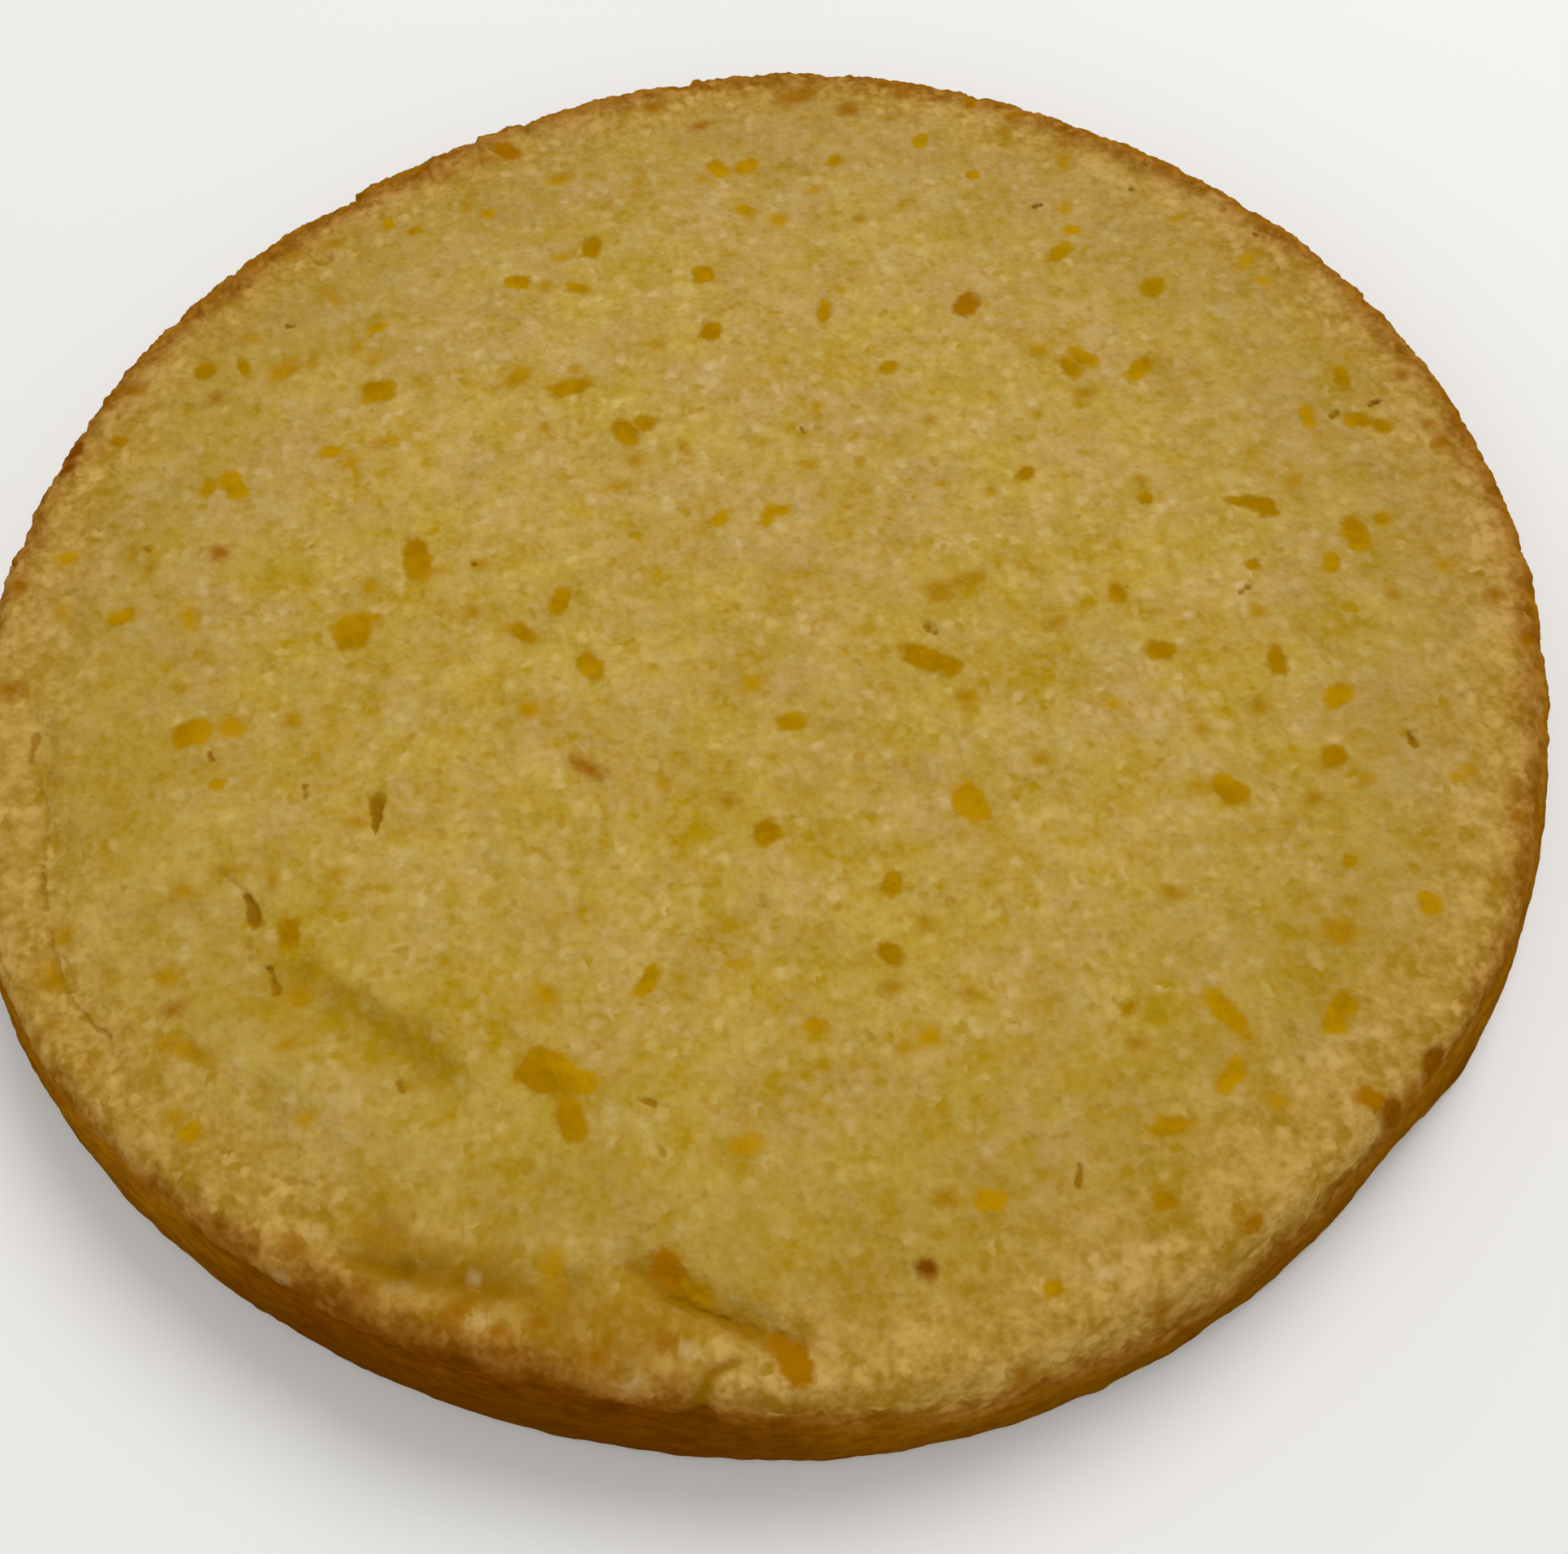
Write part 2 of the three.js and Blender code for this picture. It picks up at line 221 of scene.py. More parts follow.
SOFT_FLECKS = [
    (26.4, -5.8, 3.7, 3.5, 0), (-37.6, 13, 1.9, 1.7, 0), (-75.4, -27.8, 3.2, 1.5, -20),
    (-18, 69, 2.8, 1.5, 10), (-21.3, 63.4, 1.8, 1.6, 0), (-63.6, 55.8, 6, 3.4, 25),
    (-62.3, 57.8, 2.2, 1.6, 0), (-59, 57, 2.8, 1.7, 70), (-51.8, 58.3, 2.7, 1.6, 80),
    (-49.6, 54.3, 2.7, 1.5, 75), (-28, 46.2, 4.4, 3.1, 40), (-18.8, 46, 2.5, 1.5, 40),
    (-12.7, 26.6, 2, 1.7, 0), (-15.5, 22.4, 4, 1.8, 0), (-5.2, 27.2, 1.6, 1.5, 0),
    (-48.8, 38.1, 4.7, 1.8, -5), (-54.4, 35.4, 2.7, 1.9, 55), (-44.2, 13.3, 2.2, 1.4, 0),
    (-53.7, 12.3, 2.5, 2, 40), (-79.6, 13.4, 3.4, 1.5, 85), (-85, 23, 2.7, 1.5, 75),
    (-31.4, 83.8, 2.5, 1.5, 70), (-53.8, 79.9, 2.6, 1.6, 0), (-60.5, 79.1, 2.1, 1.4, 0),
    (-68.3, 63.6, 2.5, 1.6, -10), (-54.8, 68.6, 3, 1.5, 110), (-5.4, 47.8, 1.9, 1.7, 0),
    (-3, 83, 2, 1.5, 70), (-16, 86.5, 4, 2.4, 0), (-39.3, 5, 2.1, 1.6, -50),
    (-97, 27.3, 3, 2.4, 0), (-97.7, 18.2, 2.5, 1.5, 80), (-25, 36, 1.8, 1.6, 0),
    (8.8, 63.2, 2, 1.5, 0), (64, 61.5, 2.7, 1.7, 80), (7.2, 80.8, 1.7, 1.6, 0),
    (18, 69.2, 3.1, 2.5, -30), (24.8, 73.7, 1.8, 1.5, 0), (66.3, 70.6, 2.7, 1.6, 80),
    (30.8, 66.5, 2, 1.8, 0), (16, 30.3, 2.1, 1.6, 30), (32.3, 24.3, 1.7, 1.6, 0),
    (13, 19.8, 2, 1.5, 0), (88.4, 43.6, 3.3, 2, 45), (89.6, 38.8, 1.9, 1.8, 0),
    (97, 21.5, 2.1, 1.6, 80), (59.7, 6.8, 1.9, 1.7, 0), (81.4, 1.8, 3, 2, 20),
    (58.8, 79, 3, 1.7, 90), (80.6, 54.8, 2.1, 1.5, 0), (52, 33.5, 3, 2, 20), (56.5, 24, 3, 2, 0),
    (-74.2, -6, 4.4, 3.5, 0), (-65.8, -6.6, 2.3, 2.1, 0), (-33.5, -12.2, 2.7, 2.5, 0),
    (-9, -31.6, 2.5, 1.7, 0), (-2.6, -15, 3, 2.4, 0), (-67.5, -46.8, 2.8, 2.4, 0),
    (-81.4, -29.6, 2.1, 1.7, 0), (-97, -32.4, 2.1, 1.8, 0), (-58.4, -24.4, 2.1, 1.6, 0),
    (-70, -30.3, 2, 1.5, 90), (-61.4, -31.4, 2, 1.5, 20), (-17, -27, 1.8, 1.5, 0),
    (-36.7, -53, 3.1, 2.5, 0), (-80.6, -51.8, 5, 2, -35), (-84, -50, 2.5, 1.7, -20),
    (-69, -53.2, 3, 2.1, 0), (-83.5, -59.4, 2.1, 1.8, 0), (-67.2, -63.4, 1.9, 1.6, 0),
    (-84.3, -40.8, 2.7, 2, 0), (-15.5, -77, 4, 2.4, 0), (-24, -91.6, 3.2, 1.6, -40),
    (-40, -86.6, 4.6, 2.5, 85), (-98.5, -37.8, 3.8, 2, -65),
    (52.8, -42.6, 2.5, 1.9, 0), (69.8, -43.4, 2.2, 1.5, 0), (29, -4.8, 2.2, 1.5, 0),
    (31.6, -4.8, 3, 2.3, 10), (69, -18.7, 2.3, 1.9, 0), (6.4, -61.4, 2.4, 2, 0),
    (9.4, -68.8, 3.1, 2.9, 0), (6.4, -69.6, 2.1, 1.5, 0), (63.6, -66.2, 4.7, 3.1, -15),
    (34.4, -74.7, 2.5, 1.8, 0), (6.8, -88, 2.6, 2.4, 0), (66.6, -47.6, 2.1, 1.6, 0),
    (73.8, -46.8, 2.4, 1.4, 0), (86, -48.5, 1.6, 1.5, 0), (88.4, -48.2, 1.5, 1.5, 0),
    (45, -28.8, 1.9, 1.6, 0), (55.6, -34.6, 1.9, 1.7, 0), (64, -33, 1.9, 1.7, 0),
    (33.2, -34.6, 1.8, 1.6, 0), (26, -23, 2.6, 2, 0), (48.8, -85, 2.1, 1.8, 0),
    (88.2, -19.8, 1.9, 1.5, 0), (97, -16.8, 2.1, 1.9, 0), (40.8, -14.6, 2.3, 1.5, 0),
    (15.7, -64.1, 1.6, 1.5, 0), (44.5, -56.5, 3, 2, 0), (12.4, -53.7, 2, 1.8, 0),
]
ORANGE_FLECKS = [
    (43.2, 44.8, 4.6, 3.3, 45), (59.8, -87, 3.4, 2.2, -40), (-16, -99.7, 2.2, 1.7, 0),
    (41.3, -98, 2, 1.4, 0), (-26.9, -89.3, 4.6, 3.4, -55), (-14.3, -102.4, 5, 3.5, 100),
    (-23.8, 94.8, 5.2, 3.1, -55), (-20.3, 42.6, 2.4, 1.4, 5), (54.9, 88.2, 3.4, 1.6, 75),
    (61, 83, 2.5, 1.6, 30),
]
BROWN_FLECKS = [
    (-74.6, 23.1, 2.7, 2.5, 0), (-103.9, 24, 2.7, 2.1, 60), (-87, 57, 4, 1.8, 5),
    (-27.5, 93.5, 4, 2.2, 0), (-34, 91.5, 2.6, 1.8, 0), (-74.5, 52.5, 2.3, 1.8, 0),
    (-104.5, 6.5, 3, 2.1, 0), (-26.8, -22.6, 5, 2.1, -42), (105, 3.5, 2.9, 2.5, 90),
    (104, 6.9, 2.1, 1.8, 0), (103.7, 16.5, 2, 1.8, 0), (44.4, 92.3, 2, 1.8, 0),
    (26.5, 96.6, 7, 3.6, 10), (34.5, 91.5, 4, 3, 0), (2, 99, 2.2, 1.9, 0), (9, 93, 3, 2, 0),
    (67.8, 74.8, 2.2, 1.6, 0), (-83, -45.5, 2.5, 1.6, 0), (-36.2, -96.8, 3.1, 1.7, 35),
    (-28.2, -97.2, 2, 1.6, 90), (-42.4, -92, 1.9, 1.6, 0), (-101.3, -45.3, 2.2, 1.6, 0),
    (-70, -77.6, 3, 2, 0), (101.8, -23.4, 2, 1.7, 0), (103.6, -31, 2.7, 2, 20),
    (65.6, -87.2, 3, 2, 20), (91.8, -55.6, 2, 1.7, 0), (28.6, -104.9, 2, 1.6, 0),
    (11, -108.4, 1.9, 1.6, 0), (-51.5, -89.2, 3.2, 2.2, 40), (-47.1, -92.2, 2.4, 1.6, -60),
]
BURNT_FLECKS = [
    (-96.2, 47.4, 3.2, 2.7, 60), (-97.3, 44.2, 2.9, 2.1, 20), (2.7, -95.3, 2.1, 2, 0),
    (-49.6, 90.6, 2.4, 1.8, 60),
]
SCORCHED_FLECKS = [
    (62.2, -88.6, 3.8, 3, 0), (69.6, -84.2, 3.8, 3.6, 70), (73.5, -82.5, 2.2, 1.6, 0),
]
# Pale crumbs, some of them painted glints
PALE_CRUMBS_AND_GLINTS = [
    (86.8, -55.4, 1.6, 0.9, -30), (3, -47.2, 1.1, 0.9, 0), (-6, -57.6, 1.3, 0.9, 20),
    (-27.2, -32, 1.8, 0.9, 70), (15, -11.4, 1.3, 0.9, 0), (-48.8, 42.5, 1.9, 0.9, 35),
    (-81.8, 48.8, 1.1, 0.9, 0), (-87.5, 35.3, 1.1, 0.9, 0), (-67.5, -77.2, 1.7, 1.1, 0),
    (-58.3, -85.1, 1.8, 0.9, -10), (-26, -98.5, 1.8, 1.3, -30), (23.8, 16.5, 1.1, 0.9, 0),
    (-33, -101, 1.6, 0.9, 20), (-72.5, -80.5, 1.6, 1, -40), (23, -100, 1.8, 1.1, 0),
    (101.5, -41, 1.3, 0.9, 90), (-49, -90.5, 1.4, 0.9, -20), (-49.3, -85.7, 1, 0.7, 80),
]
# The bits of each kind, how strongly they show, and how browned they are, where -1 is pale, for pale crumbs
# and painted glints
FLECK_KINDS = [
    (CLEAR_FLECKS, 1, 0),
    (SOFT_FLECKS, 0.78, 0),
    (ORANGE_FLECKS, 1, 0.4),
    (BROWN_FLECKS, 0.75, 0.6),
    (BURNT_FLECKS, 0.9, 1),
    (SCORCHED_FLECKS, 0.9, 0.8),
    (PALE_CRUMBS_AND_GLINTS, 0.32, -1),
]
# How square the bits are, and how far round them their places are noted
FLECK_CORNERS = 2.6
FLECK_FAR = 3.0


def section():
    """Radius and height of each ring from the flat top over the rim, down the wall and under the foot."""
    rings = []
    for i in range(1, RIM_STEPS + 1):
        turn = math.pi / 2 * i / RIM_STEPS
        rings.append((FLAT_TOP + RIM_REACH * math.sin(turn), HEIGHT - RIM_DROP * (1 - math.cos(turn))))
    shoulder = HEIGHT - RIM_DROP
    for i in range(1, WALL_STEPS + 1):
        down = i / WALL_STEPS
        radius = RIM_RADIUS + (FOOT_RADIUS - RIM_RADIUS) * down + WALL_BULGE * math.sin(math.pi * down)
        rings.append((radius, shoulder + (FOOT_ROUND - shoulder) * down))
    for i in range(1, FOOT_STEPS + 1):
        turn = math.pi / 2 * i / FOOT_STEPS
        rings.append((FLAT_FOOT + FOOT_ROUND * math.cos(turn), FOOT_ROUND * (1 - math.sin(turn))))
    for share in UNDERSIDE_SHARES:
        rings.append((FLAT_FOOT * share, 0))
    return rings


def turned_out_slab():
    """The plain slab: a disc filled with a grid, its edge drawn out over the rim, down and shut below."""
    bpy.ops.object.select_all(action="DESELECT")
    bpy.ops.mesh.primitive_circle_add(vertices=ROUND_CUTS, radius=FLAT_TOP * MM, location=(0, 0, HEIGHT * MM))
    cake = bpy.context.object
    cake.name = cake.data.name = "cassava_cake"
    bpy.ops.object.transform_apply()
    bpy.ops.object.mode_set(mode="EDIT")
    bpy.ops.mesh.select_all(action="SELECT")
    bpy.ops.mesh.fill_grid(span=ROUND_CUTS // 4)
    bpy.ops.mesh.select_all(action="SELECT")
    bpy.ops.mesh.region_to_loop()
    radius, height = FLAT_TOP, HEIGHT
    for next_radius, next_height in section():
        bpy.ops.mesh.extrude_edges_move(TRANSFORM_OT_translate={"value": (0, 0, (next_height - height) * MM)})
        grow = next_radius / radius
        bpy.ops.transform.resize(value=(grow, grow, 1), center_override=(0, 0, 0))
        radius, height = next_radius, next_height
    bpy.ops.mesh.extrude_edges_move()
    bpy.ops.mesh.merge(type="CENTER")
    bpy.ops.mesh.select_all(action="SELECT")
    bpy.ops.mesh.normals_make_consistent(inside=False)
    bpy.ops.object.mode_set(mode="OBJECT")
    return cake


def numbers(items, field, each, kind=float):
    """A field of each point, edge or face of a mesh, as rows of numbers."""
    found = np.empty(each * len(items), kind)
    items.foreach_get(field, found)
    return found.reshape(-1, each)


def places(cake):
    """The cake's points in millimetres."""
    return numbers(cake.data.vertices, "co", 3) / MM


def move_to(cake, at):
    cake.data.vertices.foreach_set("co", (at * MM).ravel())
    cake.data.update()


def outward(cake):
    """The direction that each point of the surface faces."""
    return numbers(cake.data.vertex_normals, "vector", 3)


def note(cake, name, values):
    """Keeps a number or three for each point, for the finish to read."""
    kind, field = ("FLOAT", "value") if values.ndim == 1 else ("FLOAT_VECTOR", "vector")
    layer = cake.data.attributes.get(name) or cake.data.attributes.new(name, kind, "POINT")
    layer.data.foreach_set(field, values.astype(np.float32).ravel())


def noted(cake, name):
    return numbers(cake.data.attributes[name].data, "value", 1)[:, 0]


def smooth(low, high, value):
    """0 at low and 1 at high, smooth from one to the other."""
    share = np.clip((value - low) / (high - low), 0, 1)
    return share * share * (3 - 2 * share)


def past(middle, angle):
    """How many degrees each angle lies past a middle, the short way round."""
    return (angle - middle + 180) % 360 - 180


def bell(apart, spread):
    return np.exp(-0.5 * (apart / spread) ** 2)


def near(line, at):
    """How far each place in plan is from a line of points, and how far along the line that is."""
    steps = np.linalg.norm(np.diff(line, axis=0), axis=1)
    passed = np.concatenate([[0], np.cumsum(steps)]) / steps.sum()
    nearest = np.full(len(at), np.inf)
    along = np.zeros(len(at))
    for i, (start, end) in enumerate(zip(line, line[1:])):
        way = np.subtract(end, start)
        share = np.clip((at - start) @ way / (way @ way), 0, 1)
        apart = np.linalg.norm(at - start - share[:, None] * way, axis=1)
        along = np.where(apart < nearest, passed[i] + share * (passed[i + 1] - passed[i]), along)
        nearest = np.minimum(nearest, apart)
    return nearest, along


def measure_section(cake):
    """Notes how far each point is from the edge of the flat top along the section, below 0 on the top."""
    at = places(cake)
    radius = np.hypot(at[:, 0], at[:, 1])
    rings = np.array([(FLAT_TOP, HEIGHT), *section()][: -len(UNDERSIDE_SHARES)])
    runs = np.concatenate([[0], np.cumsum(np.linalg.norm(np.diff(rings, axis=0), axis=1))])
    run = np.interp(HEIGHT - at[:, 2], HEIGHT - rings[:, 1], runs)
    run = np.where(at[:, 2] > HEIGHT - LEVEL, radius - FLAT_TOP, run)
    run = np.where(at[:, 2] < LEVEL, runs[-1] + FLAT_FOOT - radius, run)
    note(cake, "rim_run", run)
    return runs[-1]


def swell(angle, swells):
    """How far out the plan swells at each angle."""
    return sum(out * bell(past(middle, np.degrees(angle)), spread) for middle, spread, out in swells)


def set_plan(cake):
    """The slightly oval, uneven plan, with the rim leaning to the front."""
    at = places(cake)
    angle = np.arctan2(at[:, 1], at[:, 0])
    down = smooth(HEIGHT - 2 * RIM_DROP, 0, at[:, 2])
    stretch = 1 + OVAL * np.cos(2 * angle)
    stretch += swell(angle, SWELLS) / RIM_RADIUS
    stretch += down * swell(angle, FOOT_SWELLS) / FOOT_RADIUS
    at[:, :2] *= stretch[:, None]
    at[:, 1] -= RIM_LEAN * at[:, 2] / HEIGHT
    middle = (at.min(axis=0) + at.max(axis=0)) / 2
    at[:, :2] -= middle[:2]
    move_to(cake, at)


def cut_finer(cake, kind, picked, cuts):
    """Subdivides the picked faces or edges."""
    bpy.ops.object.mode_set(mode="EDIT")
    bpy.ops.mesh.select_mode(type=kind)
    bpy.ops.mesh.select_all(action="DESELECT")
    bpy.ops.object.mode_set(mode="OBJECT")
    parts = cake.data.polygons if kind == "FACE" else cake.data.edges
    parts.foreach_set("select", picked)
    bpy.ops.object.mode_set(mode="EDIT")
    bpy.ops.mesh.subdivide(number_cuts=cuts)
    bpy.ops.object.mode_set(mode="OBJECT")


def refine_rim(cake):
    """Doubles the points round the craggy part of the rim."""
    ends = numbers(cake.data.edges, "vertices", 2, int)
    start, end = noted(cake, "rim_run")[ends].T
    level = np.abs(start - end) < LEVEL
    cut_finer(cake, "EDGE", level & (start > CRAGGY_FROM) & (start < CRAGGY_TO), 1)


def refine_tears(cake):
    """Cuts the surface finer along each tear."""
    middles = numbers(cake.data.polygons, "center", 3) / MM
    picked = np.zeros(len(middles), bool)
    for line, start_reach, end_reach, _ in TEARS:
        picked |= near(line, middles[:, :2])[0] < max(start_reach, end_reach) + TEAR_MARGIN
    cut_finer(cake, "FACE", picked & (middles[:, 2] > HEIGHT / 2), TEAR_CUTS)


def weigh(cake, name, weights):
    """A vertex group with one weight for each point."""
    group = cake.vertex_groups.new(name=name)
    steps = np.round(weights * WEIGHT_STEPS).astype(int)
    for step in range(1, WEIGHT_STEPS + 1):
        group.add(np.flatnonzero(steps == step).tolist(), step / WEIGHT_STEPS, "REPLACE")


def roughen(cake, name, grain, depth, group):
    """Displaces the surface by a cloud noise of a grain size, within a group."""
    clouds = bpy.data.textures.new(name, "CLOUDS")
    clouds.noise_scale = grain * MM
    clouds.noise_depth = LAYER_DETAIL
    push = cake.modifiers.new(name, "DISPLACE")
    push.texture = clouds
    push.texture_coords = "LOCAL"
    push.strength = depth * MM
    push.mid_level = 0.5
    push.vertex_group = group
    bpy.context.view_layer.objects.active = cake
    bpy.ops.object.modifier_apply(modifier=name)


def nick_depth(at, run):
    """How far the rim's nicks go in at each point."""
    angle = np.degrees(np.arctan2(at[:, 1], at[:, 0]))
    radius = np.hypot(at[:, 0], at[:, 1])
    depths = np.zeros(len(at))
    for middle, after, before, depth in NICKS:
        apart = np.radians(past(middle, angle)) * radius
        share = smooth(1, 0, np.where(apart > 0, apart / after, -apart / before))
        depths = np.maximum(depths, depth * share)
    return depths * smooth(*NICK_START, run) * smooth(*NICK_FADE, run)


def noise_at(at, grain):
    """A smooth noise of a grain size at each place, from -1 to 1."""
    return np.array([noise.noise(Vector(place) / grain) for place in at])


def mark(cake):
    """Folds and tears of the top, and the nicks of the rim."""
    at = places(cake)
    plan = at[:, :2]
    upper = at[:, 2] > HEIGHT / 2
    sink = np.zeros(len(at))
    # Moisture of the folds, with painted shade in the creases and painted light on the lips
    moist_and_shade = np.zeros(len(at))
    stray = noise_at(at, FOLD_NOISE) * FOLD_RAGGEDNESS
    for line, reach, depth, moist_and_shade_share in FOLDS:
        share = smooth(1, 0, near(line, plan)[0] / reach + stray) * upper
        sink += depth * share
        moist_and_shade += moist_and_shade_share * share**MOIST_AND_SHADE_FOCUS
    note(cake, "moist_and_shade", moist_and_shade)
    wander = noise_at(at, TEAR_NOISE) * TEAR_RAGGEDNESS
    torn = np.zeros(len(at))
    for line, start_reach, end_reach, depth in TEARS:
        apart, along = near(line, plan)
        reach = start_reach + (end_reach - start_reach) * along
        torn = np.maximum(torn, depth * smooth(1, TEAR_FLOOR, (apart + wander) / reach) * upper)
    note(cake, "tear", torn)
    inward = at * (-1, -1, 0) / np.maximum(np.hypot(at[:, 0], at[:, 1]), 1)[:, None]
    nicked = inward * nick_depth(at, noted(cake, "rim_run"))[:, None]
    move_to(cake, at - outward(cake) * (sink + torn)[:, None] + nicked)


def shared_cells(cake, owner):
    """1 at points whose faces all belong to one owner, 0 along the joins."""
    corners = numbers(cake.data.loops, "vertex_index", 1, int)[:, 0]
    starts = numbers(cake.data.polygons, "loop_start", 1, int)[:, 0]
    owners = owner[corners]
    mixed = np.minimum.reduceat(owners, starts) != np.maximum.reduceat(owners, starts)
    sizes = np.diff(np.append(starts, len(corners)))
    clear = np.ones(len(owner))
    clear[corners[np.repeat(mixed, sizes)]] = 0
    return clear


def bake_in_flecks(cake):
    """Notes each point's nearest fleck: its place across it, its depth in it, and the fleck's own look."""
    at = places(cake)
    depth = np.full(len(at), -FLECK_FAR)
    across_fleck = np.full((len(at), 3), FLECK_FAR)
    strength = np.zeros(len(at))
    browned = np.zeros(len(at))
    owner = np.full(len(at), -1)
    flecks = [(fleck, shows, toast) for kind, shows, toast in FLECK_KINDS for fleck in kind]
    for count, (fleck, shows, toast) in enumerate(flecks):
        across, away, long, wide, turn = fleck
        side = at[:, :2] - (across, away)
        close = np.abs(side).max(axis=1) < long / 2 + FLECK_FAR
        reach = np.flatnonzero(close & (at[:, 2] > HEIGHT / 2))
        shares = side[reach] @ Matrix.Rotation(math.radians(turn), 2) / (long / 2, wide / 2)
        inside = (1 - (np.abs(shares) ** FLECK_CORNERS).sum(axis=1) ** (1 / FLECK_CORNERS)) * wide / 2
        deeper = inside > depth[reach]
        won = reach[deeper]
        depth[won] = inside[deeper]
        across_fleck[won] = np.column_stack([shares[deeper], np.full(len(won), wide / 2)])
        strength[won] = shows
        browned[won] = toast
        owner[won] = count
    note(cake, "fleck_depth", depth)
    note(cake, "fleck_clear", shared_cells(cake, owner))
    note(cake, "fleck_strength", strength)
    note(cake, "fleck_toast", browned)
    note(cake, "across_fleck", across_fleck)


def note_browning(cake, end):
    """Notes how far each point is past the place where the crust turns brown."""
    at = places(cake)
    angle = np.degrees(np.arctan2(at[:, 1], at[:, 0])) % 360
    run = noted(cake, "rim_run")
    note(cake, "browned", run - np.interp(angle, *zip(*BROWNING_STARTS)))
    side = smooth(*DARK_BAKE_FADE, run - end)
    note(cake, "dark_bake", side * bell(angle - DARK_BAKE_AT, DARK_BAKE_SPREAD))


def shape_cake():
    cake = turned_out_slab()
    end = measure_section(cake)
    refine_rim(cake)
    set_plan(cake)
    refine_tears(cake)
    run = noted(cake, "rim_run")
    front = FRONT_SHARE + (1 - FRONT_SHARE) * smooth(*FRONT_STRETCH, places(cake)[:, 1])
    weigh(cake, "top", smooth(*TOP_FADE, run))
    weigh(cake, "rim", smooth(*RIM_START, run) * smooth(*RIM_FADE, run) * front)
    weigh(cake, "wall", smooth(*WALL_START, run) * smooth(*WALL_FADE, run - end))
    for layer in LAYERS:
        roughen(cake, *layer)
    mark(cake)
    bake_in_flecks(cake)
    note_browning(cake, end)
    bpy.ops.object.shade_smooth()
    return cake


class Wire:
    """A socket of a material's nodes, on which plain sums add their Math nodes."""

    def __init__(self, tree, socket=None):
        self.tree = tree
        self.socket = socket

    def node(self, kind, settings, inputs, output=0):
        """Adds a node, sets it up, feeds its inputs with values or wires, and gives one of its outputs."""
        made = self.tree.nodes.new("ShaderNode" + kind)
        for name, value in settings.items():
            setattr(made, name, value)
        for name, value in inputs.items():
            if isinstance(value, Wire):
                self.tree.links.new(value.socket, made.inputs[name])
            else:
                made.inputs[name].default_value = value
        return Wire(self.tree, made.outputs[output])

    def sum(self, operation, first, second):
        return self.node("Math", {"operation": operation}, {0: first, 1: second})

    def __add__(self, other):
        return self.sum("ADD", self, other)

    def __radd__(self, other):
        return self.sum("ADD", other, self)

    def __sub__(self, other):
        return self.sum("SUBTRACT", self, other)

    def __rsub__(self, other):
        return self.sum("SUBTRACT", other, self)

    def __mul__(self, other):
        return self.sum("MULTIPLY", self, other)

    def __rmul__(self, other):
        return self.sum("MULTIPLY", other, self)

    def between(self, low, high):
        """0 at low and below, 1 at high and above, smooth from one to the other."""
        sockets = {0: self, 1: low, 2: high, 3: 0, 4: 1}
        return self.node("MapRange", {"interpolation_type": "SMOOTHSTEP"}, sockets)

    def clouds(self, size, detail, rough, shift):
        """A noise of about the given grain in millimetres, read at this place, centred on 0."""
        moved = self.node("VectorMath", {"operation": "ADD"}, {0: self, 1: (shift, shift, shift)})
        sockets = {"Vector": moved, "Scale": 1 / size, "Detail": detail, "Roughness": rough}
        return self.node("TexNoise", {}, sockets) - 0.5

    def twin(self, output):
        """Another output of the same node."""
        return Wire(self.tree, self.socket.node.outputs[output])

    def part(self, axis):
        """One of the three numbers of a place."""
        return self.node("SeparateXYZ", {}, {0: self}, axis)

    def blend(self, first, second):
        """A colour that goes from the first to the second as this goes from 0 to 1."""
        sockets = {0: self, 6: first, 7: second}
        return self.node("Mix", {"data_type": "RGBA"}, sockets, 2)


def colour(red, green, blue):
    """A screen colour, in parts of 255, as the light it stands for."""
    shares = [part / 255 for part in (red, green, blue)]
    return (*[s / 12.92 if s <= 0.04045 else ((s + 0.055) / 1.055) ** 2.4 for s in shares], 1)


# Colours of the finish, in pairs from darkest to lightest where they vary
GOLDEN_CRUMB = (colour(165, 130, 7), colour(207, 184, 109))
TANNED_CRUMB = (colour(165, 128, 21), colour(206, 181, 132))
WARM_CRUST = (colour(150, 109, 22), colour(196, 156, 82))
TOASTED_CRUST = (colour(124, 75, 5), colour(167, 118, 46))
BROWN_SIDE = (colour(122, 72, 0), colour(158, 104, 10))
DARK_SIDE = (colour(90, 47, 0), colour(122, 68, 1))
AMBER_FLECK = (colour(154, 110, 0), colour(173, 129, 4))
ORANGE_FLECK = colour(151, 97, 1)
BURNT_FLECK = colour(116, 62, 0)
# Pale crumb, also the colour of painted glints
PALE_CRUMB_AND_GLINT = colour(206, 180, 126)
SPECK = colour(160, 118, 4)
SHADED_CRUMB = colour(140, 110, 40)
MOIST_AND_CREASE_SHADE = colour(138, 96, 2)
TORN_CRUMB = colour(146, 102, 2)
DEEP_TEAR = colour(114, 72, 1)
# The foot's darkest crust, partly painted contact shadow
FOOT_CRUST_AND_SHADOW = colour(88, 48, 0)

# Noises of the finish as (grain, detail, roughness, shift)
FINE = (0.9, 1, 0.5, 0)
EDGE = (1.5, 2, 0.6, 5)
STREAKS = (1.6, 2, 0.6, 0)
SPECKLE = (2.4, 1, 0.5, 11)
MOTTLE = (2.8, 2, 0.6, 31)
UNEVEN = (8, 3, 0.8, 57)
WANDER = (9, 3, 0.7, 21)
HUE = (14, 3, 0.7, 83)
WANDER_REACH = 9
GRAIN_SIZE = 2.2

